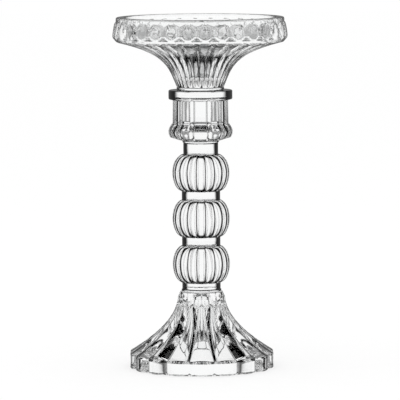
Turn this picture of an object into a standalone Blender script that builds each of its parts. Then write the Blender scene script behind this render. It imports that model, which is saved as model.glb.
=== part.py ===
"""A pressed-glass candlestick for a pillar candle, 240 mm tall.

Four glass pressings stand on one another and are bonded through thin glass wafers: a hollow ribbed foot,
a stem of three reeded balls, a fluted collar, and a wide bowl with a row of round petals under its rim.
Nothing on it moves. Metres, +Z up, the origin in the middle of the face that the foot stands on. The front
of the candlestick faces -Y.
"""

import math

import bmesh
import bpy

NAME = "glass_candlestick"
MM = 0.001
FRONT = -math.pi / 2  # the direction of -Y, as an angle from +X

# Every bonded face keeps this much room to the next one.
BOND = 0.3 * MM

# Foot: a trumpet of raised ribs on an upright band, hollow underneath.
FOOT_RADIUS = 49.5 * MM  # over the crowns of the ribs
FOOT_HEIGHT = 52.2 * MM
FOOT_BAND_HEIGHT = 10.7 * MM
FOOT_BAND_ROUND = 0.9 * MM
FOOT_WAIST_RADIUS = 16.5 * MM
FOOT_SHOULDER_HEIGHT = 3.6 * MM  # the plain cone above the ribs
FOOT_SHOULDER_LEDGE = 0.9 * MM  # how far the top face reaches past the wafer on it
FOOT_FLARE = 1.9  # 1 is a straight cone, more is a deeper trumpet
FOOT_RIBS = 18
FOOT_BAND_GROOVE = 2.2 * MM
FOOT_WAIST_GROOVE = 1.4 * MM
RIB_HEAD_HEIGHT = 4.5 * MM  # of the round head that ends a rib under the shoulder
RIB_HEAD_ROUNDNESS = 0.85  # 1 brings a head to a point, 0 cuts it off square

# The hollow that the plunger leaves under the foot.
HOLLOW_RING_WIDTH = 6.2 * MM  # of the ring that the foot stands on
HOLLOW_UPRIGHT = 4.5 * MM
HOLLOW_ROOF = 12.5 * MM  # glass above the hollow
HOLLOW_TOP_RADIUS = 6.0 * MM
HOLLOW_FLARE = 1.5

# Wafers: discs of glass between the pressings.
LOWER_WAFER_HEIGHT = 1.3 * MM
LOWER_WAFER_LIP = 0.5 * MM  # how far it stands out from the neck on it
UPPER_WAFER_HEIGHT = 1.1 * MM
UPPER_WAFER_LIP = 0.5 * MM
BOWL_WAFER_HEIGHT = 1.6 * MM
WAFER_ROUND = 0.35 * MM

# Stem: three reeded balls with plain necks between and beyond them.
BALLS = 3
BALL_RADIUS = 19.6 * MM  # over the crowns of the reeds
BALL_HEIGHT = 24.5 * MM
BALL_FULLNESS = 0.55  # 0.5 is an ellipse, less is nearer a drum
BALL_REEDS = 16
REED_GROOVE = 1.8 * MM
NECK_RADIUS = 13.1 * MM
NECK_HEIGHT = 6.9 * MM
BOTTOM_NECK_HEIGHT = 4.3 * MM
TOP_NECK_RADIUS = 11.9 * MM
TOP_NECK_HEIGHT = 8.4 * MM

# Collar: a flat plate on a fluted drum, with a lobed roll below.
COLLAR_FLUTES = 12
PLATE_RADIUS = 21.8 * MM
PLATE_HEIGHT = 6.4 * MM
PLATE_ROUND = 0.9 * MM
DRUM_RADIUS = 18.9 * MM
DRUM_HEIGHT = 16.0 * MM
DRUM_GROOVE = 0.9 * MM
ROLL_RADIUS = 21.9 * MM
ROLL_HEIGHT = 10.0 * MM
ROLL_GROOVE = 0.9 * MM
SKIRT_HEIGHT = 2.1 * MM  # the taper from the roll in to the wafer
SKIRT_LEDGE = 0.9 * MM

# Bowl: a fluted trumpet that opens into an upright rim with petals round it.
BOWL_FLUTES = 32
BOWL_TURN = math.radians(3.4)  # the bowl was bonded on with this turn to the pieces below
BOWL_NECK_RADIUS = 16.2 * MM
BOWL_TRUMPET_HEIGHT = 30.6 * MM
BOWL_TRUMPET_CONE = 0.3  # how much of the trumpet's growth is an even taper; the rest is its flare
BOWL_TRUMPET_FLARE = 4.0
BOWL_FLUTE_GROOVE = 1.3 * MM
RIM_RADIUS = 57.4 * MM
RIM_HEIGHT = 16.9 * MM  # from the edge of the trumpet to the top
RIM_SKIRT = 1.7 * MM  # how far the petal row stands out from the rim above it
RIM_ROUND = 1.1 * MM
EDGE_ROUND = 2.2 * MM  # the rolled lower edge under the petals
PETAL_HEIGHT = 11.3 * MM
PETAL_RISE = 1.2 * MM
PETAL_FLATNESS = 3.0  # 2 is a round dome, more is nearer a flat disc
PETAL_TOP_DROP = 3.1 * MM  # from the top of the rim to the top of a petal

# Inside the bowl: an upright recess, a flat seat for the candle, and a well.
RECESS_WALL = 5.8 * MM
RECESS_DEPTH = 14.0 * MM
SEAT_WIDTH = 7.6 * MM
WELL_DEPTH = 25.6 * MM
WELL_FLOOR_RADIUS = 12.0 * MM
WELL_CONE = 0.45
WELL_FLARE = 3.1

LOBE_SQUARENESS = 2.2  # 2 is an even curve over the crown, more leaves it flatter beside a sharper groove

# How finely the lobed and the plain round sections are faceted.
FACETS_PER_REED = 3
FACETS_PER_RIB = 4
FACETS_PER_FLUTE = 5
FACETS_PER_PETAL = 4
WAFER_STEPS = 32

# Heights at which the pieces start, from the ground up.
LOWER_WAFER_Z = FOOT_HEIGHT + BOND
STEM_Z = LOWER_WAFER_Z + LOWER_WAFER_HEIGHT + BOND
STEM_HEIGHT = BOTTOM_NECK_HEIGHT + BALLS * BALL_HEIGHT + (BALLS - 1) * NECK_HEIGHT + TOP_NECK_HEIGHT
UPPER_WAFER_Z = STEM_Z + STEM_HEIGHT + BOND
COLLAR_Z = UPPER_WAFER_Z + UPPER_WAFER_HEIGHT + BOND
COLLAR_HEIGHT = SKIRT_HEIGHT + ROLL_HEIGHT + DRUM_HEIGHT + PLATE_HEIGHT
BOWL_WAFER_Z = COLLAR_Z + COLLAR_HEIGHT + BOND
BOWL_Z = BOWL_WAFER_Z + BOWL_WAFER_HEIGHT + BOND


def start_collection():
    """Remove what the scene holds and make the collection that the pieces go in."""
    for thing in list(bpy.data.objects):
        bpy.data.objects.remove(thing, do_unlink=True)
    pieces = bpy.data.collections.new(NAME)
    bpy.context.scene.collection.children.link(pieces)
    return pieces


def clear_glass(name, tint):
    """Clear glass, with the faint tint that the piece's thickness gives it."""
    material = bpy.data.materials.new(name)
    material.use_nodes = True
    shader = material.node_tree.nodes["Principled BSDF"]
    shader.inputs["Base Color"].default_value = (*tint, 1.0)
    shader.inputs["Roughness"].default_value = 0.03
    shader.inputs["Metallic"].default_value = 0.0
    shader.inputs["IOR"].default_value = 1.52
    shader.inputs["Transmission Weight"].default_value = 1.0
    return material


def across_lobe(angle, lobes, turn):
    """Where an angle lies on its lobe: 0 on the crown, -1 and 1 in the grooves."""
    lobe = (angle - FRONT - turn) * lobes / math.tau
    return 2 * (lobe - round(lobe))


def ring(height, radius_at, steps, start=0.0):
    """A closed ring of points at one height, whose radius is a function of the angle."""
    points = []
    for step in range(steps):
        angle = start + math.tau * step / steps
        radius = radius_at(angle)
        points.append((radius * math.cos(angle), radius * math.sin(angle), height))
    return points


def lobed_ring(height, radius, groove, lobes, facets, turn=0.0, width=1.0):
    """A ring of rounded lobes. Its radius is over the crowns, and the groove is cut into it between them.

    A width below 1 narrows each lobe to that share of its room, and widens the grooves.
    """
    first_groove = FRONT + turn + math.pi / lobes

    def radius_at(angle):
        across = min(1.0, abs(across_lobe(angle, lobes, turn)) / width)
        return radius - groove * across**LOBE_SQUARENESS

    return ring(height, radius_at, lobes * facets, first_groove)


def loft(name, rings, material, pieces):
    """A closed solid through rings with equal numbers of points, flat at its two ends."""
    shape = bmesh.new()
    rows = [[shape.verts.new(point) for point in points] for points in rings]
    for upper, lower in zip(rows, rows[1:]):
        for i in range(len(upper)):
            shape.faces.new((upper[i - 1], upper[i], lower[i], lower[i - 1]))
    shape.faces.new(rows[0])
    shape.faces.new(rows[-1])
    bmesh.ops.recalc_face_normals(shape, faces=shape.faces)
    return finished(name, shape, material, pieces)


def finished(name, shape, material, pieces):
    """Turn a bmesh into a smooth-shaded object with its material."""
    mesh = bpy.data.meshes.new(name)
    shape.to_mesh(mesh)
    shape.free()
    mesh.materials.append(material)
    mesh.shade_smooth()
    mesh.set_sharp_from_angle(angle=math.radians(35))
    piece = bpy.data.objects.new(name, mesh)
    pieces.objects.link(piece)
    return piece


def turned_disc(name, radius, height, rounding, base, material, pieces):
    """A disc with rounded edges: half its outline, turned round the Z axis."""
    outline = [(0, height), (radius - rounding, height), (radius, height - rounding)]
    outline += [(radius, rounding), (radius - rounding, 0), (0, 0)]
    mesh = bpy.data.meshes.new(name)
    edges = [(i, i + 1) for i in range(len(outline) - 1)]
    mesh.from_pydata([(r, 0, z) for r, z in outline], edges, [])
    mesh.materials.append(material)
    disc = bpy.data.objects.new(name, mesh)
    disc.location.z = base
    pieces.objects.link(disc)
    turn = disc.modifiers.new("Turn", "SCREW")
    turn.steps = turn.render_steps = WAFER_STEPS
    turn.use_merge_vertices = True
    turn.merge_threshold = 0.00001
    return disc


def spread(count, power=1.0):
    """Even shares from 0 to 1, or crowded towards 1 where the power is below 1."""
    return [(i / (count - 1)) ** power for i in range(count)]


def foot_radius(share):
    """The crowns' radius on the trumpet, from the band at 0 to the waist at 1."""
    return FOOT_WAIST_RADIUS + (FOOT_RADIUS - FOOT_WAIST_RADIUS) * (1 - share) ** FOOT_FLARE


def foot(pieces):
    """The foot: shoulder, ribbed trumpet and band outside, and the plunger's hollow inside."""
    def section(height, radius, groove=0.0, rib_width=1.0):
        return lobed_ring(height, radius, groove, FOOT_RIBS, FACETS_PER_RIB, width=rib_width)

    top_radius = NECK_RADIUS + LOWER_WAFER_LIP + FOOT_SHOULDER_LEDGE
    waist = FOOT_HEIGHT - FOOT_SHOULDER_HEIGHT
    trumpet = waist - FOOT_BAND_HEIGHT
    head = RIB_HEAD_HEIGHT / trumpet
    rings = [section(FOOT_HEIGHT, top_radius)]
    head_shares = [1, 1 - head / 3]
    trumpet_shares = [(1 - head) * share for share in spread(8)[::-1]]
    for share in head_shares + trumpet_shares:
        groove = FOOT_BAND_GROOVE + (FOOT_WAIST_GROOVE - FOOT_BAND_GROOVE) * share
        radius = foot_radius(share) if share else FOOT_RADIUS - FOOT_BAND_ROUND
        into_head = max(0.0, (share - 1) / head + 1)
        rib_width = math.sqrt(1 - RIB_HEAD_ROUNDNESS * into_head**2)
        rings.append(section(FOOT_BAND_HEIGHT + trumpet * share, radius, groove, rib_width))
    rings.append(section(FOOT_BAND_HEIGHT - FOOT_BAND_ROUND, FOOT_RADIUS, FOOT_BAND_GROOVE))
    rings.append(section(FOOT_BAND_ROUND, FOOT_RADIUS, FOOT_BAND_GROOVE))
    rings.append(section(0, FOOT_RADIUS - FOOT_BAND_ROUND, FOOT_BAND_GROOVE))

    hollow_radius = FOOT_RADIUS - FOOT_BAND_ROUND - FOOT_BAND_GROOVE - HOLLOW_RING_WIDTH
    hollow_height = FOOT_HEIGHT - HOLLOW_ROOF
    rings.append(section(0, hollow_radius))
    for share in spread(6):
        radius = HOLLOW_TOP_RADIUS + (hollow_radius - HOLLOW_TOP_RADIUS) * (1 - share) ** HOLLOW_FLARE
        rings.append(section(HOLLOW_UPRIGHT + (hollow_height - HOLLOW_UPRIGHT) * share, radius))
    return loft("foot", rings, clear_glass("foot_glass", (0.93, 0.94, 0.95)), pieces)


def stem(pieces):
    """The stem: plain necks, and balls whose reeds run out where a ball meets a neck."""
    def section(height, radius, groove=0.0):
        return lobed_ring(STEM_Z + height, radius, groove, BALL_REEDS, FACETS_PER_REED)

    rings = [section(0, NECK_RADIUS)]
    base = BOTTOM_NECK_HEIGHT
    for ball in range(BALLS):
        upper_neck = TOP_NECK_RADIUS if ball == BALLS - 1 else NECK_RADIUS
        for share in (-1, -0.93, -0.75, -0.45, 0, 0.45, 0.75, 0.93, 1):
            neck = NECK_RADIUS if share < 0 else upper_neck
            swell = (1 - share * share) ** BALL_FULLNESS
            height = base + BALL_HEIGHT * (1 + share) / 2
            rings.append(section(height, neck + (BALL_RADIUS - neck) * swell, REED_GROOVE * swell))
        base += BALL_HEIGHT + NECK_HEIGHT
    rings.append(section(STEM_HEIGHT, TOP_NECK_RADIUS))
    return loft("stem", rings, clear_glass("stem_glass", (0.95, 0.96, 0.97)), pieces)


def collar(pieces):
    """The collar, from its plate down: fluted drum, lobed roll and the skirt over the wafer."""
    def section(height, radius, groove=0.0):
        return lobed_ring(COLLAR_Z + height, radius, groove, COLLAR_FLUTES, FACETS_PER_FLUTE)

    plate = COLLAR_HEIGHT - PLATE_HEIGHT
    drum = plate - DRUM_HEIGHT
    rings = [section(COLLAR_HEIGHT, PLATE_RADIUS - PLATE_ROUND)]
    rings.append(section(COLLAR_HEIGHT - PLATE_ROUND, PLATE_RADIUS))
    rings.append(section(plate + PLATE_ROUND, PLATE_RADIUS))
    rings.append(section(plate, PLATE_RADIUS - PLATE_ROUND))
    rings.append(section(plate, DRUM_RADIUS, DRUM_GROOVE))
    rings.append(section(drum, DRUM_RADIUS, DRUM_GROOVE))
    for share in spread(6)[1:]:
        swell = math.sin(math.pi * (0.12 + 0.68 * share))
        radius = DRUM_RADIUS + (ROLL_RADIUS - DRUM_RADIUS) * swell
        groove = DRUM_GROOVE + (ROLL_GROOVE - DRUM_GROOVE) * share
        rings.append(section(drum - ROLL_HEIGHT * share, radius, groove))
    rings.append(section(0, TOP_NECK_RADIUS + UPPER_WAFER_LIP + SKIRT_LEDGE))
    return loft("collar", rings, clear_glass("collar_glass", (0.95, 0.96, 0.97)), pieces)


def trumpet_growth(share, cone, flare):
    """How far a trumpet has opened, 0 to 1: an even taper with a flare added towards its mouth."""
    return cone * share + (1 - cone) * share ** flare


def petal_ring(height, radius, from_middle):
    """A ring through the row of petals, at a share of half a petal's height above its middle."""
    def radius_at(angle):
        from_centre = min(1.0, math.hypot(across_lobe(angle, BOWL_FLUTES, BOWL_TURN), from_middle))
        return radius + PETAL_RISE * math.sqrt(1 - from_centre**PETAL_FLATNESS)

    first_groove = FRONT + BOWL_TURN + math.pi / BOWL_FLUTES
    return ring(BOWL_Z + height, radius_at, BOWL_FLUTES * FACETS_PER_PETAL, first_groove)


def bowl(pieces):
    """The bowl, from the floor of its well up the inside, over the rim and down the outside."""
    def section(height, radius, groove=0.0):
        return lobed_ring(BOWL_Z + height, radius, groove, BOWL_FLUTES, FACETS_PER_PETAL, BOWL_TURN)

    top = BOWL_TRUMPET_HEIGHT + RIM_HEIGHT
    recess_radius = RIM_RADIUS - RECESS_WALL
    seat = top - RECESS_DEPTH
    mouth_radius = recess_radius - SEAT_WIDTH
    rings = []
    for share in spread(6):
        growth = trumpet_growth(share, WELL_CONE, WELL_FLARE)
        radius = WELL_FLOOR_RADIUS + (mouth_radius - WELL_FLOOR_RADIUS) * growth
        rings.append(section(seat - WELL_DEPTH * (1 - share), radius))
    rings.append(section(seat, recess_radius))
    rings.append(section(top - RIM_ROUND, recess_radius))
    rings.append(section(top, recess_radius + RIM_ROUND))
    rings.append(section(top, RIM_RADIUS - RIM_ROUND))
    rings.append(section(top - RIM_ROUND, RIM_RADIUS))

    petal_middle = top - PETAL_TOP_DROP - PETAL_HEIGHT / 2
    for from_middle in (1, 0.86, 0.5, 0, -0.5, -0.86, -1):
        skirt = RIM_SKIRT * ((1 - from_middle) / 2) ** 1.5
        rings.append(petal_ring(petal_middle + from_middle * PETAL_HEIGHT / 2, RIM_RADIUS + skirt, from_middle))

    edge_radius = RIM_RADIUS + RIM_SKIRT - EDGE_ROUND
    for share in (1, 0.94, 0.86, 0.75, 0.6, 0.44, 0.27, 0.1, 0):
        growth = trumpet_growth(share, BOWL_TRUMPET_CONE, BOWL_TRUMPET_FLARE)
        radius = BOWL_NECK_RADIUS + (edge_radius - BOWL_NECK_RADIUS) * growth
        groove = BOWL_FLUTE_GROOVE * min(1, share * 4)
        rings.append(section(BOWL_TRUMPET_HEIGHT * share, radius, groove))
    return loft("candle_bowl", rings, clear_glass("bowl_glass", (0.94, 0.95, 0.96)), pieces)


def wafers(pieces):
    """The three discs of glass that join the pressings."""
    material = clear_glass("wafer_glass", (0.90, 0.92, 0.93))
    turned_disc(
        "lower_wafer", NECK_RADIUS + LOWER_WAFER_LIP, LOWER_WAFER_HEIGHT, WAFER_ROUND,
        LOWER_WAFER_Z, material, pieces,
    )
    turned_disc(
        "upper_wafer", TOP_NECK_RADIUS + UPPER_WAFER_LIP, UPPER_WAFER_HEIGHT, WAFER_ROUND,
        UPPER_WAFER_Z, material, pieces,
    )
    turned_disc(
        "bowl_wafer", BOWL_NECK_RADIUS, BOWL_WAFER_HEIGHT, WAFER_ROUND,
        BOWL_WAFER_Z, material, pieces,
    )


def main():
    pieces = start_collection()
    foot(pieces)
    stem(pieces)
    collar(pieces)
    bowl(pieces)
    wafers(pieces)


main()
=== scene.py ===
# %% [markdown]
# # A pressed-glass candlestick
#
# Clear glass has no colour of its own to paint. What the eye reads as "glass" is the room behind it, bent
# by every rib, reed and petal. So this lesson spends its effort on two things: the true form of each
# pressing, fine enough that light bends smoothly through it, and a studio that gives the glass something
# white and something dark to bend.

# %% Load the frame
import math

import bpy
import numpy as np
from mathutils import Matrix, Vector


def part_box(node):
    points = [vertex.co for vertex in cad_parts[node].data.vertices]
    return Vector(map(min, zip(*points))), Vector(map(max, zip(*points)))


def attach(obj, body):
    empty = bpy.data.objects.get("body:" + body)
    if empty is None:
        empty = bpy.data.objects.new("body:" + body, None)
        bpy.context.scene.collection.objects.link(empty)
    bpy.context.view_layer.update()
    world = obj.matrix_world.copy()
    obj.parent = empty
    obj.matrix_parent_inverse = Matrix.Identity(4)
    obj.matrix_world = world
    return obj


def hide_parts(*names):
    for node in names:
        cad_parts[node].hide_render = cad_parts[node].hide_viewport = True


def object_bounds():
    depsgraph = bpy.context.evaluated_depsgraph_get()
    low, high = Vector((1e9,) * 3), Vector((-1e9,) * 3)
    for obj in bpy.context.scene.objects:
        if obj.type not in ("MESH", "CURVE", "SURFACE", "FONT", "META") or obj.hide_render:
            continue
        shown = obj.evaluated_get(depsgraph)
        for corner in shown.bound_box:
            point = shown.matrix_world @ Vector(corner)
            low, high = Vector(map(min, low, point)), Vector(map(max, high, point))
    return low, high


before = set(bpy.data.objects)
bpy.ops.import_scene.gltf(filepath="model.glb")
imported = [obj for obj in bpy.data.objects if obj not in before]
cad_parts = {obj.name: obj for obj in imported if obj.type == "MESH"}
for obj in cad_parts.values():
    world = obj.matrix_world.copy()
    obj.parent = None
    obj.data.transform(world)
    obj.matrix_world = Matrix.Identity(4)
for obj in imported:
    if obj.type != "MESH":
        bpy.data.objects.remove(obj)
cad_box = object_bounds()
MM = 0.001
FRONT = -math.pi / 2  # the direction of -Y, as an angle from +X
low_corner, high_corner = (tuple(corner) for corner in cad_box)
OBJECT_HEIGHT = high_corner[2] - low_corner[2]
print("pieces in the frame:", sorted(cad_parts))
print("height in mm:", round(OBJECT_HEIGHT / MM, 2))

# %% [markdown]
# ## Camera
#
# The rim of the bowl is a very thin ellipse in the photograph and the foot a fuller one. The two openings
# give the camera's height and distance: it looks at the rim from about 2.4 degrees above and at the table
# from about 8.3. A long lens keeps the verticals parallel. The picture leans by a third of a degree, so the
# camera rolls by that.

# %% Camera
RIM_ELEVATION = math.radians(2.4)
TABLE_ELEVATION = math.radians(8.3)
PICTURE_PIXELS = 400
OBJECT_PIXELS = 349.5
MIDDLE_PIXEL_DROP = 7.6  # the picture's middle is this far below the object's middle
AXIS_PIXEL_SHIFT = 1.0  # the object's axis is this far right of the picture's middle
CAMERA_ROLL = math.radians(0.33)
CAMERA_REACH = 30  # in metres

camera_distance = OBJECT_HEIGHT / (math.tan(TABLE_ELEVATION) - math.tan(RIM_ELEVATION))
camera_height = camera_distance * math.tan(TABLE_ELEVATION)
camera_drop = camera_height - OBJECT_HEIGHT / 2
camera_range = math.hypot(camera_distance, camera_drop)
pixel_size = OBJECT_HEIGHT * camera_distance / camera_range / OBJECT_PIXELS
aim_height = OBJECT_HEIGHT / 2 - MIDDLE_PIXEL_DROP * pixel_size

lens = bpy.data.cameras.new("photograph_camera")
lens.angle = 2 * math.atan(pixel_size * PICTURE_PIXELS / 2 / camera_range)
lens.clip_end = CAMERA_REACH
camera = bpy.data.objects.new("photograph_camera", lens)
bpy.context.scene.collection.objects.link(camera)
camera.location = (-AXIS_PIXEL_SHIFT * pixel_size, -camera_distance, camera_height)
pitch = math.atan2(camera_height - aim_height, camera_distance)
camera.rotation_euler = (math.pi / 2 - pitch, 0, 0)
camera.rotation_euler.rotate_axis("Z", -CAMERA_ROLL)
bpy.context.scene.camera = camera
print("camera", [round(v, 3) for v in camera.location], "view angle", round(math.degrees(lens.angle), 2))

# %% [markdown]
# ## Writing shaders as sums
#
# A shader is arithmetic, so it reads best as arithmetic. `Wire` wraps one output socket, and `+`, `-` and
# `*` on it add the Math nodes. Every other kind of node comes from `Graph.add`, which takes the node's
# settings first and then the values or wires of its inputs. `Graph.ray` asks what kind of ray is being
# shaded.

# %% Shader arithmetic
RAY_OUTPUTS = {"camera": 0, "diffuse": 2, "glossy": 3, "mirrored": 5, "through": 6}  # of a Light Path node


class Wire:
    """One output socket, with the arithmetic that this script uses."""

    def __init__(self, graph, socket):
        self.graph = graph
        self.socket = socket

    def _math(self, operation, first, second):
        return self.graph.add("ShaderNodeMath", {"operation": operation}, {0: first, 1: second})

    def __add__(self, other):
        return self._math("ADD", self, other)

    def __sub__(self, other):
        return self._math("SUBTRACT", self, other)

    def __rsub__(self, other):
        return self._math("SUBTRACT", other, self)

    def __mul__(self, other):
        return self._math("MULTIPLY", self, other)

    __radd__ = __add__
    __rmul__ = __mul__


class Graph:
    """The node tree of one material or world."""

    def __init__(self, owner):
        owner.use_nodes = True
        self.tree = owner.node_tree
        self.tree.nodes.clear()

    def add(self, kind, settings=None, inputs=None, output=0):
        """Add a node, set it, feed it, and return a wire from one of its outputs."""
        node = self.tree.nodes.new(kind)
        for name, value in (settings or {}).items():
            if name == "ramp":
                self._set_ramp(node.color_ramp, value)
            else:
                setattr(node, name, value)
        for name, value in (inputs or {}).items():
            if isinstance(value, Wire):
                self.tree.links.new(value.socket, node.inputs[name])
            else:
                node.inputs[name].default_value = value
        return Wire(self, node.outputs[output]) if node.outputs else None

    def ray(self, kind):
        """1 for rays of one kind, and 0 for all others."""
        return self.add("ShaderNodeLightPath", output=RAY_OUTPUTS[kind])

    def larger(self, first, second):
        """The larger of two values."""
        return self.add("ShaderNodeMath", {"operation": "MAXIMUM"}, {0: first, 1: second})

    def _set_ramp(self, ramp, stops):
        while len(ramp.elements) < len(stops):
            ramp.elements.new(0.5)
        for element, (place, level) in zip(ramp.elements, stops):
            element.position = place
            element.color = (level, level, level, 1)


# %% [markdown]
# ## The studio
#
# The glass was photographed against plain white. The camera itself sees white everywhere. Rays that come
# out of the glass see white all round the table, and black only high overhead, where a studio has a dark
# ceiling. The ceiling is what the steep back walls of the foot throw into the picture as black wedges. It
# could be a real black card, but a step in the world's own brightness has no edge to place, and it looks
# the same from the front, the sides and the back. Reflections see a dimmer room than the view through the
# glass does, so the skin doesn't veil what is behind it.

# %% World
WHITE_TO = 0.42  # sine of the elevation up to which the surroundings are white
BLACK_FROM = 0.50
OVERHEAD = 0.0
ROOM_LIGHT = 1.0
MIRRORED_ROOM = 0.25  # how bright reflections see the room, where the view through the glass sees 1

world = bpy.data.worlds.new("white_studio")
bpy.context.scene.world = world
studio = Graph(world)
direction = studio.add("ShaderNodeTexCoord", output="Generated")
height_in_sky = studio.add("ShaderNodeSeparateXYZ", inputs={0: direction}, output="Z")
sky = studio.add(
    "ShaderNodeMapRange",
    {"interpolation_type": "SMOOTHSTEP"},
    {"Value": height_in_sky, "From Min": WHITE_TO, "From Max": BLACK_FROM, "To Min": 1.0, "To Max": OVERHEAD},
)
is_camera = studio.ray("camera")
is_diffuse = studio.ray("diffuse")
is_mirrored = studio.ray("mirrored")
by_glass = 1 - is_camera - is_diffuse
level = is_camera + is_diffuse * ROOM_LIGHT + by_glass * sky * (1 - is_mirrored * (1 - MIRRORED_ROOM))
background = studio.add("ShaderNodeBackground", inputs={"Color": (1, 1, 1, 1), "Strength": level})
studio.add("ShaderNodeOutputWorld", inputs={"Surface": background})
white_degrees, black_degrees = (math.degrees(math.asin(sine)) for sine in (WHITE_TO, BLACK_FROM))
print(f"the glass sees white up to {white_degrees:.0f} degrees and black from {black_degrees:.0f}")

# %% [markdown]
# ## Floor and lamp
#
# The table is white paper. A floor that only glows has no shadow, and one that is only lit goes grey
# towards the horizon, so it is a mix: most of its white can't be shaded, and the rest takes the soft shadow
# at the foot. The lamp is a large soft box overhead. It is there for the shadow alone, and the glass
# doesn't show it.

# %% Floor
FLOOR_RADIUS = 6.0
FLOOR_CORNERS = 96
FLOOR_GLOW = 0.72  # the share of the floor's white that no shadow can take away
PAPER_FIBRE = 900.0
PAPER_TONES = [(0.3, 0.98), (0.7, 1.0)]


def floor_material():
    """White paper: it takes the object's soft shadow, and shows white to the camera and through the glass."""
    material = bpy.data.materials.new("white_paper")
    graph = Graph(material)
    by_glass = graph.larger(graph.ray("glossy"), graph.ray("through"))
    glow_share = graph.larger(graph.ray("camera") * FLOOR_GLOW, by_glass)
    fibre = graph.add("ShaderNodeTexNoise", inputs={"Scale": PAPER_FIBRE, "Detail": 2.0})
    tone = graph.add("ShaderNodeValToRGB", {"ramp": PAPER_TONES}, {"Fac": fibre})
    paper = graph.add("ShaderNodeBsdfDiffuse", inputs={"Color": tone})
    dimmed = 1 - graph.ray("mirrored") * (1 - MIRRORED_ROOM)
    white = graph.add("ShaderNodeCombineColor", inputs={"Red": dimmed, "Green": dimmed, "Blue": dimmed})
    glow = graph.add("ShaderNodeEmission", inputs={"Color": white, "Strength": 1.0})
    surface = graph.add("ShaderNodeMixShader", inputs={0: glow_share, 1: paper, 2: glow})
    graph.add("ShaderNodeOutputMaterial", inputs={"Surface": surface})
    return material


bpy.ops.mesh.primitive_circle_add(vertices=FLOOR_CORNERS, radius=FLOOR_RADIUS, fill_type="NGON")
floor = bpy.context.object
floor.name = "floor"
floor.data.materials.append(floor_material())
print("floor radius in m:", FLOOR_RADIUS)

# %% Lamp
LAMP_POWER = 2.2
LAMP_SIZE = 1.2
LAMP_PLACE = (-0.3, -0.4, 1.5)
LAMP_TILT = (math.radians(-15), math.radians(-11), 0)

lamp_data = bpy.data.lights.new("soft_box", "AREA")
lamp_data.energy = LAMP_POWER
lamp_data.size = LAMP_SIZE
lamp = bpy.data.objects.new("soft_box", lamp_data)
bpy.context.scene.collection.objects.link(lamp)
lamp.location = LAMP_PLACE
lamp.rotation_euler = LAMP_TILT
lamp.visible_glossy = False
lamp.visible_transmission = False
print("soft box:", LAMP_POWER, "W,", LAMP_SIZE, "m wide")

# %% [markdown]
# ## Painted shade where glass goes dark
#
# Black lines are what make a glass object readable. On the real one they lie where the skin turns steeply
# away: light that comes in there is bent so far round that it comes from the dark parts of the room. Here
# they are painted shade, a shortcut and not how light behaves: the glass's own Base Color is painted darker
# where it bends light most, in place of the dark room. Layer Weight gives the angle at which the light
# meets the skin, and the painted shade works alike from every side. At the very edge, where the skin only
# mirrors, the painted shade fades and the glass turns pale again. Where light leaves, the angle in the air
# is the one that counts, so it is worked out from the angle in the glass by the law of refraction.

# %% Ramps and masks
NECKS_END = 13.2  # in mm from the axis
REEDS_START = 13.8


def smooth_step(graph, value, start, end, before=0.0, after=1.0):
    """A number that goes smoothly from one level to another while a value goes from start to end."""
    sockets = {"Value": value, "From Min": start, "From Max": end, "To Min": before, "To Max": after}
    return graph.add("ShaderNodeMapRange", {"interpolation_type": "SMOOTHSTEP"}, sockets)


def on_necks(graph, place):
    """1 on the plain necks of the stem, which are nearer the axis than any reed."""
    flat = graph.add("ShaderNodeVectorMath", {"operation": "MULTIPLY"}, {0: place, 1: (1, 1, 0)})
    from_axis = graph.add("ShaderNodeVectorMath", {"operation": "LENGTH"}, {0: flat}, "Value")
    return smooth_step(graph, from_axis, NECKS_END * MM, REEDS_START * MM, 1.0, 0.0)


def near_top(node, depth, blend=0.5):
    """Makes a mask that is 1 on the top of a piece, down to a depth in mm, and fades over a blend in mm."""
    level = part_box(node)[1].z - depth * MM

    def mask(graph, place):
        height = graph.add("ShaderNodeSeparateXYZ", inputs={0: place}, output="Z")
        return smooth_step(graph, height, level - blend * MM, level)

    return mask


# %% [markdown]
# ## Glass
#
# Pressed glass is fire-polished: sharp to look through, but its skin keeps the faint waves of the mould. A
# clear Principled shader with full transmission gives the body. A low, broad bump gives the waves, and a
# very small change of roughness the places where it is handled. The tint is all but white. Its Base Color
# also carries painted shade on steep walls, as set out above.

# %% Glass
GLASS_IOR = 1.52
WAVE_STRENGTH = 0.35
WAVE_DETAIL = 1.5
HANDLED_SCALE = 60.0
HANDLED_DETAIL = 3.0
POLISH = [(0.45, 0.0), (0.8, 0.012)]  # how the roughness grows where it is handled


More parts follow.
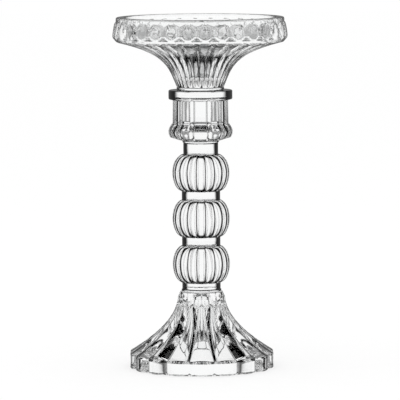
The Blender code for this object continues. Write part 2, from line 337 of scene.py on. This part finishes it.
def pressed_glass(name, tint, waves, painted_shade_ramps, plain=None):
    """Clear glass whose skin waves a little, as a mould leaves it, with painted shade in its Base Color on
    steep walls.
    """
    material = bpy.data.materials.new(name)
    graph = Graph(material)
    place = graph.add("ShaderNodeTexCoord", output="Object")

    wave_scale, wave_height = waves
    noise = {"Vector": place, "Scale": wave_scale, "Detail": WAVE_DETAIL}
    ripple = graph.add("ShaderNodeTexNoise", inputs=noise)
    bump = {"Strength": WAVE_STRENGTH, "Distance": wave_height, "Height": ripple}
    normal = graph.add("ShaderNodeBump", inputs=bump)

    noise = {"Vector": place, "Scale": HANDLED_SCALE, "Detail": HANDLED_DETAIL}
    handled = graph.add("ShaderNodeTexNoise", inputs=noise)
    roughness = graph.add("ShaderNodeValToRGB", {"ramp": POLISH}, {"Fac": handled})

    # steepness is 0 where a wall is seen head on and 1 where it is seen edge on
    near_steep = graph.add("ShaderNodeLayerWeight", inputs={"Blend": 0.5, "Normal": normal}, output="Facing")
    cosine = 1 - near_steep
    squared_sine_in_air = (1 - cosine * cosine) * GLASS_IOR**2
    squared_cosine_in_air = graph.larger(1 - squared_sine_in_air, 0.0)
    far_steep = 1 - graph.add("ShaderNodeMath", {"operation": "SQRT"}, {0: squared_cosine_in_air})
    is_far = graph.add("ShaderNodeNewGeometry", output="Backfacing")

    # painted shade: Base Color is darkened where the skin is steep to the view, in place of the dark room
    # that bent light would show
    near_painted_shade = smooth_step(graph, near_steep, *painted_shade_ramps["near"])
    near_painted_shade = near_painted_shade * smooth_step(graph, near_steep, *painted_shade_ramps["pale_again"], 1.0, 0.0)
    far_painted_shade = smooth_step(graph, far_steep, *painted_shade_ramps["far"]) * painted_shade_ramps["far_share"]
    painted_shade = near_painted_shade * (1 - is_far) + far_painted_shade * is_far
    if plain:
        mask, plain_painted_shade_ramp = plain
        is_plain = mask(graph, place)
        steep = near_steep * (1 - is_far) + far_steep * is_far
        painted_shade = painted_shade * (1 - is_plain) + smooth_step(graph, steep, *plain_painted_shade_ramp) * is_plain

    # the share of the tint that the painted shade leaves, which goes into Base Color
    left_by_painted_shade = 1 - painted_shade
    red, green, blue = (left_by_painted_shade * share for share in tint)
    through = graph.add("ShaderNodeCombineColor", inputs={"Red": red, "Green": green, "Blue": blue})
    body = graph.add(
        "ShaderNodeBsdfPrincipled",
        inputs={
            "Base Color": through,
            "Roughness": roughness,
            "IOR": GLASS_IOR,
            "Transmission Weight": 1.0,
            "Normal": normal,
        },
    )
    graph.add("ShaderNodeOutputMaterial", inputs={"Surface": body})
    return material


# %% The five glasses
WATER_WHITE = (0.985, 0.99, 0.99)
WAFER_TINT = (0.96, 0.97, 0.975)

# how fine the skin's waves are, and how high in metres
FOOT_WAVES = (70.0, 0.0004)
STEM_WAVES = (160.0, 0.0007)
COLLAR_WAVES = (90.0, 0.0002)
BOWL_WAVES = (160.0, 0.0008)
WAFER_WAVES = (120.0, 0.0003)

# painted shade: the steepness from which, and by which, it darkens near walls and fades again, and darkens
# far walls
FOOT_PAINTED_SHADE = dict(near=(0.52, 0.66), pale_again=(0.7, 0.88), far=(0.41, 0.53), far_share=1.0)
STEM_PAINTED_SHADE = dict(near=(0.2, 0.32), pale_again=(0.5, 0.7), far=(0.3, 0.45), far_share=0.6)
COLLAR_PAINTED_SHADE = dict(near=(0.26, 0.36), pale_again=(0.45, 0.6), far=(0.26, 0.36), far_share=0.9)
BOWL_PAINTED_SHADE = dict(near=(0.3, 0.42), pale_again=(0.6, 0.8), far=(0.35, 0.48), far_share=0.8)
WAFER_PAINTED_SHADE = dict(near=(0.4, 0.6), pale_again=(0.9, 1.0), far=(0.4, 0.6), far_share=0.8)

# plain zones get painted shade only near their outline: where they are, and the steepness from which and by
# which
PLATE_DEPTH = 6.3
RIM_WALL_DEPTH = 20
RIM_WALL_BLEND = 6
NECK = (on_necks, (0.26, 0.42))
PLATE = (near_top("collar", PLATE_DEPTH), (0.26, 0.42))
RIM_WALL = (near_top("candle_bowl", RIM_WALL_DEPTH, RIM_WALL_BLEND), (0.55, 0.85))

GLASS = {
    "foot_glass": pressed_glass("foot_glass", WATER_WHITE, FOOT_WAVES, FOOT_PAINTED_SHADE),
    "stem_glass": pressed_glass("stem_glass", WATER_WHITE, STEM_WAVES, STEM_PAINTED_SHADE, NECK),
    "collar_glass": pressed_glass("collar_glass", WATER_WHITE, COLLAR_WAVES, COLLAR_PAINTED_SHADE, PLATE),
    "bowl_glass": pressed_glass("bowl_glass", WATER_WHITE, BOWL_WAVES, BOWL_PAINTED_SHADE, RIM_WALL),
    "wafer_glass": pressed_glass("wafer_glass", WAFER_TINT, WAFER_WAVES, WAFER_PAINTED_SHADE),
}
print("glasses:", ", ".join(GLASS))

# %% [markdown]
# ## From outline to pressing
#
# Every piece is a turned outline with a relief round it. An outline is a list of corners, each with its own
# rounding, because no edge of fire-polished glass is sharp. The relief then pushes each point out along the
# outline's own direction, so grooves stay equally deep on a steep wall and on a flat flare.

# %% Outline helpers
ARC_STEPS = 6
CAP_RADIUS = 0.5  # an outline stops this far from the axis, and one flat face closes the rest
SHARP_EDGE = math.radians(40)


def rounded(corners):
    """Turn corners (radius, height, rounding) in mm into a smooth outline in metres."""
    points = []
    for i, (radius, height, rounding) in enumerate(corners):
        here = np.array((radius, height), float)
        if rounding == 0 or i in (0, len(corners) - 1):
            points.append(here)
            continue
        before = np.array(corners[i - 1][:2], float) - here
        after = np.array(corners[i + 1][:2], float) - here
        reach = min(rounding, 0.49 * np.linalg.norm(before), 0.49 * np.linalg.norm(after))
        start = here + before / np.linalg.norm(before) * reach
        end = here + after / np.linalg.norm(after) * reach
        for t in np.linspace(0, 1, ARC_STEPS):
            points.append((1 - t) ** 2 * start + 2 * t * (1 - t) * here + t**2 * end)
    return np.array(points) * MM


def divided(outline, step):
    """Add points to an outline so that none are further apart than a step in mm."""
    points = [outline[0]]
    for a, b in zip(outline, outline[1:]):
        count = max(1, math.ceil(np.linalg.norm(b - a) / (step * MM)))
        points += [a + (b - a) * k / count for k in range(1, count + 1)]
    return np.array(points)


def outward(outline, outside=1):
    """The direction that faces out of the glass at each point of an outline."""
    along = np.gradient(outline, axis=0)
    along /= np.linalg.norm(along, axis=1)[:, None]
    return np.stack([-along[:, 1], along[:, 0]], axis=1) * outside


def across(angles, lobes, turn=0.0):
    """Where each angle lies on its lobe: 0 on the crown, -1 and 1 in the grooves."""
    lobe = (angles - FRONT - turn) * lobes / math.tau
    return 2 * (lobe - np.round(lobe))


def round_lobe(u, fullness=0.97):
    """How far a round lobe has dropped: 0 on the crown, 1 in the groove, where it is steepest."""
    return (1 - np.sqrt(1 - fullness * u**2)) / (1 - math.sqrt(1 - fullness))


def flared(s, cone, power):
    """How far a trumpet has opened at a share s of its height. The cone is the share that tapers evenly."""
    return cone * s + (1 - cone) * s**power


def pressing(name, outline, relief, columns, lobes, turn=0.0, outside=1):
    """A closed, smooth skin: the outline turned once round, and relief(angles) pushed out of it in metres."""
    first_groove = FRONT + turn + math.pi / lobes
    angles = first_groove + math.tau * np.arange(columns) / columns
    push = relief(angles)
    out = outward(outline, outside)
    radius = outline[:, :1] + push * out[:, :1]
    height = outline[:, 1:] + push * out[:, 1:]
    points = np.stack([radius * np.cos(angles), radius * np.sin(angles), height + 0 * radius], axis=2)
    rows = len(outline)
    row, column = np.meshgrid(np.arange(rows - 1), np.arange(columns), indexing="ij")
    here = row * columns
    above = (row + 1) * columns
    after = (column + 1) % columns
    quads = np.stack([here + column, above + column, above + after, here + after], axis=2)
    faces = quads.reshape(-1, 4).tolist()
    faces.append(list(range(columns)))
    faces.append(list(range((rows - 1) * columns, rows * columns))[::-1])
    mesh = bpy.data.meshes.new(name)
    mesh.from_pydata(points.reshape(-1, 3).tolist(), [], faces)
    mesh.shade_smooth()
    mesh.set_sharp_from_angle(angle=SHARP_EDGE)
    piece = bpy.data.objects.new(name, mesh)
    bpy.context.scene.collection.objects.link(piece)
    print(name, "points", len(mesh.vertices), "faces", len(mesh.polygons))
    return piece


def seat(piece, slot, node):
    """Give a finished piece its glass, and let it stand for its node."""
    piece.data.materials.append(GLASS[slot])
    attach(piece, "root")
    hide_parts(node)


def span(node):
    """The lowest and highest level of a piece of the frame, in mm."""
    low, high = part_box(node)
    return low.z / MM, high.z / MM


# %% [markdown]
# ## Wafers
#
# Between the pressings lie thin discs of glass, fused or bonded on both faces. They show as bright rings
# with a dark line above and below. A plain turned outline with rounded edges is all they need.

# %% Wafers
WAFER_ROUND = 0.35
WAFER_STEP = 0.8
WAFER_COLUMNS = 96
WAFER_LOBES = 12  # a wafer has no relief, so this only says where its first column lies


def wafer(node):
    """A thin disc with a rounded edge, as big as its node."""
    low, high = span(node)
    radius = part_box(node)[1].x / MM
    edge = [(radius, high, WAFER_ROUND), (radius, low, WAFER_ROUND)]
    outline = divided(rounded([(CAP_RADIUS, high, 0)] + edge + [(CAP_RADIUS, low, 0)]), WAFER_STEP)

    def flat(angles):
        return np.zeros((len(outline), len(angles)))

    piece = pressing(node.replace("wafer", "glass_wafer"), outline, flat, WAFER_COLUMNS, WAFER_LOBES)
    seat(piece, "wafer_glass", node)


for wafer_node in ("lower_wafer", "upper_wafer", "bowl_wafer"):
    wafer(wafer_node)

# %% [markdown]
# ## Foot
#
# The foot is a trumpet of eighteen ribs. Each rib is a broad rounded lobe with a sharp groove on either side,
# and ends in a round head under the plain shoulder. The plunger that pressed it left a hollow underneath. How
# high it goes is a guess: here it ends in a dome close under the top, thinner there than a real one may be,
# because that shows through the shoulder like the keyhole in the photograph. A solid foot would be simpler,
# but it is the hollow's back walls that put the black wedges between the ribs.

# %% Foot
FOOT_RIBS = 18
FOOT_COLUMNS = FOOT_RIBS * 16
FOOT_STEP = 0.8
FOOT_TOP_RADIUS = 14.5
FOOT_TOP_ROUND = 0.4
FOOT_CAP_RADIUS = 4
BAND_TOP = 10.7
BAND_TOP_ROUND = 1.0
BAND_FOOT_ROUND = 0.9
BAND_GROOVE = 2.2
WAIST_RADIUS = 16.5
WAIST_GROOVE = 1.7
SHOULDER_DROP = 3.6
FLARE = 1.9
FLARE_ROWS = 60
RIB_HEAD = 3.0
RIB_FULLNESS = 0.95
HEAD_DROP = 8.0
RING_INSET = 2.0  # the grooves of the band end on the face that it stands on, this far in
HOLLOW_RADIUS = 40.2
HOLLOW_ROUND = 0.8
HOLLOW_UPRIGHT = 7.5
HOLLOW_ROOF = 1.0
HOLLOW_TOP_RADIUS = 5.2
HOLLOW_FLARE = 1.5
HOLLOW_ROWS = 40
HOLLOW_STEP = 1.2
DOME_TURNS = np.radians(np.linspace(6, 84, 14))


def foot_outside(radius, high):
    """The outline from the top face over the trumpet and the band to the face that the foot stands on."""
    waist = high - SHOULDER_DROP
    corners = [(FOOT_CAP_RADIUS, high, 0), (FOOT_TOP_RADIUS, high, FOOT_TOP_ROUND)]
    for s in np.linspace(1, 0, FLARE_ROWS)[:-1]:
        trumpet_radius = WAIST_RADIUS + (radius - WAIST_RADIUS) * (1 - s) ** FLARE
        corners.append((trumpet_radius, BAND_TOP + (waist - BAND_TOP) * s, 0))
    corners += [(radius, BAND_TOP, BAND_TOP_ROUND), (radius, 0, BAND_FOOT_ROUND), (radius - RING_INSET, 0, 0)]
    return divided(rounded(corners), FOOT_STEP)


def foot_inside(radius, high):
    """The outline that goes on from there up the hollow and over its dome."""
    dome_foot = high - HOLLOW_ROOF - HOLLOW_TOP_RADIUS
    corners = [(radius - RING_INSET, 0, 0), (HOLLOW_RADIUS, 0.0, HOLLOW_ROUND)]
    for s in np.linspace(0, 1, HOLLOW_ROWS):
        hollow_radius = HOLLOW_TOP_RADIUS + (HOLLOW_RADIUS - HOLLOW_TOP_RADIUS) * (1 - s) ** HOLLOW_FLARE
        corners.append((hollow_radius, HOLLOW_UPRIGHT + (dome_foot - HOLLOW_UPRIGHT) * s, 0))
    for turn in DOME_TURNS:
        dome_radius = HOLLOW_TOP_RADIUS * math.cos(turn)
        corners.append((dome_radius, dome_foot + HOLLOW_TOP_RADIUS * math.sin(turn), 0))
    return divided(rounded(corners), HOLLOW_STEP)[1:]


def foot():
    """Ribs, shoulder and band outside, and the plunger's hollow inside."""
    high = span("foot")[1]
    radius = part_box("foot")[1].y / MM
    outside = foot_outside(radius, high)
    outline = np.concatenate([outside, foot_inside(radius, high)])
    height = outline[:, 1:] / MM
    rising = np.clip((height - BAND_TOP) / (high - SHOULDER_DROP - BAND_TOP), 0, 1)
    depth = BAND_GROOVE + (WAIST_GROOVE - BAND_GROOVE) * rising
    depth *= np.clip((high - height) / SHOULDER_DROP, 0, 1)
    depth[len(outside):] = 0

    def relief(angles):
        u = across(angles, FOOT_RIBS)[None, :]
        head = np.clip((height - (high - HEAD_DROP - RIB_HEAD)) / RIB_HEAD, 0, 1)
        half_width = np.sqrt(np.maximum(1 - head**2, 1e-4))
        return -round_lobe(np.minimum(np.abs(u / half_width), 1), RIB_FULLNESS) * depth * MM

    piece = pressing("pressed_foot", outline, relief, FOOT_COLUMNS, FOOT_RIBS)
    seat(piece, "foot_glass", "foot")


foot()

# %% [markdown]
# ## Stem
#
# Three balls, each with sixteen rounded reeds that start and stop on the plain necks. The reeds could be
# sixteen separate lobes joined to a core, but one skin with grooves in it has no hidden walls, and inside
# glass those show. The rows lie closer together at the ends of each ball, where the reeds turn in.

# %% Stem
REEDS = 16
REED_COLUMNS = REEDS * 14
REED_GROOVE = 1.8
BALLS = 3
BALL_RADIUS = 19.6
BALL_HEIGHT = 25.2
BALL_FULLNESS = 0.55
BALL_ROWS = 49
NECK_RADIUS = 13.1
TOP_NECK_RADIUS = 11.9
NECK_HEIGHT = 6.2
NECK_BEVEL = 0.3
BOTTOM_NECK_HEIGHT = 4.3


def stem():
    """Reeded balls on plain necks, from the bottom up, so its outline has its outside on the other hand."""
    low, high = span("stem")
    corners = [(CAP_RADIUS, low), (NECK_RADIUS - NECK_BEVEL, low), (NECK_RADIUS, low + NECK_BEVEL)]
    groove = [0, 0, 0]
    base = low + BOTTOM_NECK_HEIGHT
    for ball in range(BALLS):
        upper_neck = TOP_NECK_RADIUS if ball == BALLS - 1 else NECK_RADIUS
        for share in np.sin(np.linspace(-math.pi / 2, math.pi / 2, BALL_ROWS)):
            neck = NECK_RADIUS if share < 0 else upper_neck
            swell = (1 - share * share) ** BALL_FULLNESS
            corners.append((neck + (BALL_RADIUS - neck) * swell, base + BALL_HEIGHT * (1 + share) / 2))
            groove.append(REED_GROOVE * swell)
        base += BALL_HEIGHT + NECK_HEIGHT
    corners += [(TOP_NECK_RADIUS, high - NECK_BEVEL), (TOP_NECK_RADIUS - NECK_BEVEL, high)]
    corners += [(CAP_RADIUS, high)]
    groove += [0, 0, 0]
    outline = np.array(corners) * MM
    depth = np.array(groove)[:, None]

    def relief(angles):
        u = across(angles, REEDS)[None, :]
        return -round_lobe(u) * depth * MM

    piece = pressing("pressed_stem", outline, relief, REED_COLUMNS, REEDS, outside=-1)
    piece.data.flip_normals()
    seat(piece, "stem_glass", "stem")


stem()

# %% [markdown]
# ## Collar
#
# A plate with a rounded edge, a drum with twelve shallow flutes, and a roll whose lobes carry the flutes
# on. It would turn on a lathe but for the flutes, so it is the same kind of outline as the foot, with a
# shallow relief.

# %% Collar
FLUTES = 12
COLLAR_COLUMNS = FLUTES * 20
COLLAR_STEP = 0.7
PLATE_RADIUS = 21.8
PLATE_HEIGHT = 6.4
PLATE_ROUND = 1.0
DRUM_RADIUS = 18.9
DRUM_HEIGHT = 16.0
DRUM_ROUND = 0.6
DRUM_START = 0.2  # how far below the plate the drum's outline starts
DRUM_GROOVE = 1.1
DRUM_SQUARENESS = 4.0
ROLL_RADIUS = 21.9
ROLL_HEIGHT = 10.0
ROLL_FROM = 0.02  # the roll swells like a sine, from this share of a half turn
ROLL_TURN = 0.78
ROLL_ROWS = 24
COLLAR_FOOT_RADIUS = 13.3
COLLAR_FOOT_ROUND = 0.8
PLAIN_FOOT = 1.0


def collar():
    """Plate, fluted drum and lobed roll."""
    low, high = span("collar")
    plate = high - PLATE_HEIGHT
    drum = plate - DRUM_HEIGHT
    corners = [(CAP_RADIUS, high, 0), (PLATE_RADIUS, high, PLATE_ROUND), (PLATE_RADIUS, plate, PLATE_ROUND)]
    corners += [(DRUM_RADIUS, plate - DRUM_START, DRUM_ROUND)]
    for share in np.linspace(0, 1, ROLL_ROWS):
        swell = math.sin(math.pi * (ROLL_FROM + ROLL_TURN * share))
        corners.append((DRUM_RADIUS + (ROLL_RADIUS - DRUM_RADIUS) * swell, drum - ROLL_HEIGHT * share, 0))
    corners += [(COLLAR_FOOT_RADIUS, low, COLLAR_FOOT_ROUND), (CAP_RADIUS, low, 0)]
    outline = divided(rounded(corners), COLLAR_STEP)
    height = outline[:, 1:] / MM
    depth = np.where((height < plate) & (height > low + PLAIN_FOOT), DRUM_GROOVE, 0.0)

    def relief(angles):
        u = across(angles, FLUTES)[None, :]
        return -np.abs(u) ** DRUM_SQUARENESS * depth * MM

    piece = pressing("pressed_collar", outline, relief, COLLAR_COLUMNS, FLUTES)
    seat(piece, "collar_glass", "collar")


collar()

# %% [markdown]
# ## Bowl
#
# The bowl opens like a trumpet from a narrow neck. Thirty-two flutes run up its underside into a row of
# round petals below a plain rim. Inside is the recess for the candle, its flat seat, and the well under it.
# The petals could be discs laid on the wall, but glass would show the walls hidden between them, so they are
# domes in the same skin.

# %% Bowl
PETALS = 32
BOWL_COLUMNS = PETALS * 12
BOWL_STEP = 0.9
BOWL_TURN = math.radians(3.4)
BOWL_NECK_RADIUS = 16.2
TRUMPET_HEIGHT = 30.6
TRUMPET_CONE = 0.3
TRUMPET_FLARE = 4
TRUMPET_ROWS = 50
EDGE_ROUND = 2.2
FLUTE_GROOVE = 1.6
FLUTE_RUN_IN = 8  # the flutes grow to their full depth over this height
RIM_RADIUS = 57.4
RIM_ROUND_INSIDE = 1.2
RIM_ROUND_OUTSIDE = 1.4
RIM_SKIRT = 1.7
SKIRT_CURVE = 1.5
PETAL_HEIGHT = 11.3
PETAL_RISE = 1.2
PETAL_FLATNESS = 3.0
PETAL_TOP_DROP = 3.1
PETAL_ROWS = 24
RECESS_RADIUS = 51.6
RECESS_DEPTH = 14.0
RECESS_ROUND = 0.8
MOUTH_RADIUS = 44.0
MOUTH_ROUND = 0.7
WELL_DEPTH = 25.6
WELL_FLOOR_RADIUS = 12.0
WELL_FLOOR_ROUND = 1.2
WELL_CONE = 0.45
WELL_FLARE = 3.1
WELL_ROWS = 30


def bowl_inside(high):
    """Corners from the middle of the well's floor, up the well and over the seat to the top of the recess."""
    seat_level = high - RECESS_DEPTH
    floor_level = seat_level - WELL_DEPTH
    corners = [(CAP_RADIUS, floor_level, 0), (WELL_FLOOR_RADIUS, floor_level, WELL_FLOOR_ROUND)]
    for s in np.linspace(0, 1, WELL_ROWS)[1:-1]:
        growth = flared(s, WELL_CONE, WELL_FLARE)
        well_radius = WELL_FLOOR_RADIUS + (MOUTH_RADIUS - WELL_FLOOR_RADIUS) * growth
        corners.append((well_radius, seat_level - WELL_DEPTH * (1 - s), 0))
    corners += [(MOUTH_RADIUS, seat_level, MOUTH_ROUND), (RECESS_RADIUS, seat_level, RECESS_ROUND)]
    return corners + [(RECESS_RADIUS, high, RIM_ROUND_INSIDE)]


def bowl_outside(low, high, petal_middle):
    """Corners from the rim down over the row of petals, and down the trumpet to the middle of the neck."""
    corners = [(RIM_RADIUS, high, RIM_ROUND_OUTSIDE)]
    for v in np.linspace(1, -1, PETAL_ROWS):
        skirt = RIM_SKIRT * ((1 - v) / 2) ** SKIRT_CURVE
        corners.append((RIM_RADIUS + skirt, petal_middle + v * PETAL_HEIGHT / 2, 0))
    edge_radius = RIM_RADIUS + RIM_SKIRT - EDGE_ROUND
    for s in np.linspace(1, 0, TRUMPET_ROWS):
        growth = flared(s, TRUMPET_CONE, TRUMPET_FLARE)
        trumpet_radius = BOWL_NECK_RADIUS + (edge_radius - BOWL_NECK_RADIUS) * growth
        corners.append((trumpet_radius, low + TRUMPET_HEIGHT * s, 0))
    return corners + [(CAP_RADIUS, low, 0)]


def bowl():
    """Recess and well inside, petals and flutes outside, in one skin."""
    low, high = span("candle_bowl")
    middle = high - PETAL_TOP_DROP - PETAL_HEIGHT / 2
    outline = divided(rounded(bowl_inside(high) + bowl_outside(low, high, middle)), BOWL_STEP)
    tip = int(np.argmax(outline[:, 1] + outline[:, 0]))
    height = outline[:, 1:] / MM
    outside = (np.arange(len(outline)) > tip)[:, None]
    v = (height - middle) / (PETAL_HEIGHT / 2)
    petal_zone = outside & (np.abs(v) < 1)
    flute_zone = outside & (height < low + TRUMPET_HEIGHT + 0.1) & (height > low + 0.01)
    flute_depth = FLUTE_GROOVE * np.clip((height - low) / FLUTE_RUN_IN, 0, 1) * flute_zone

    def relief(angles):
        u = across(angles, PETALS, BOWL_TURN)[None, :]
        off_centre = np.sqrt(np.minimum(u**2 + v**2, 1))
        dome = np.sqrt(1 - off_centre**PETAL_FLATNESS) * petal_zone * PETAL_RISE
        flute = -round_lobe(u) * flute_depth
        return (dome + flute) * MM

    piece = pressing("pressed_bowl", outline, relief, BOWL_COLUMNS, PETALS, BOWL_TURN)
    seat(piece, "bowl_glass", "candle_bowl")


bowl()

# %% [markdown]
# ## Finish
#
# Light passes many walls on its way through a ribbed foot or a bowl, so it may bounce often. The dressed
# model has to fill the same box as the frame.

BOUNCES = 24
GLOSSY_BOUNCES = 16

bpy.context.scene.view_settings.view_transform = "Standard"
bpy.context.scene.cycles.max_bounces = BOUNCES
bpy.context.scene.cycles.transmission_bounces = BOUNCES
bpy.context.scene.cycles.glossy_bounces = GLOSSY_BOUNCES
bpy.context.view_layer.update()
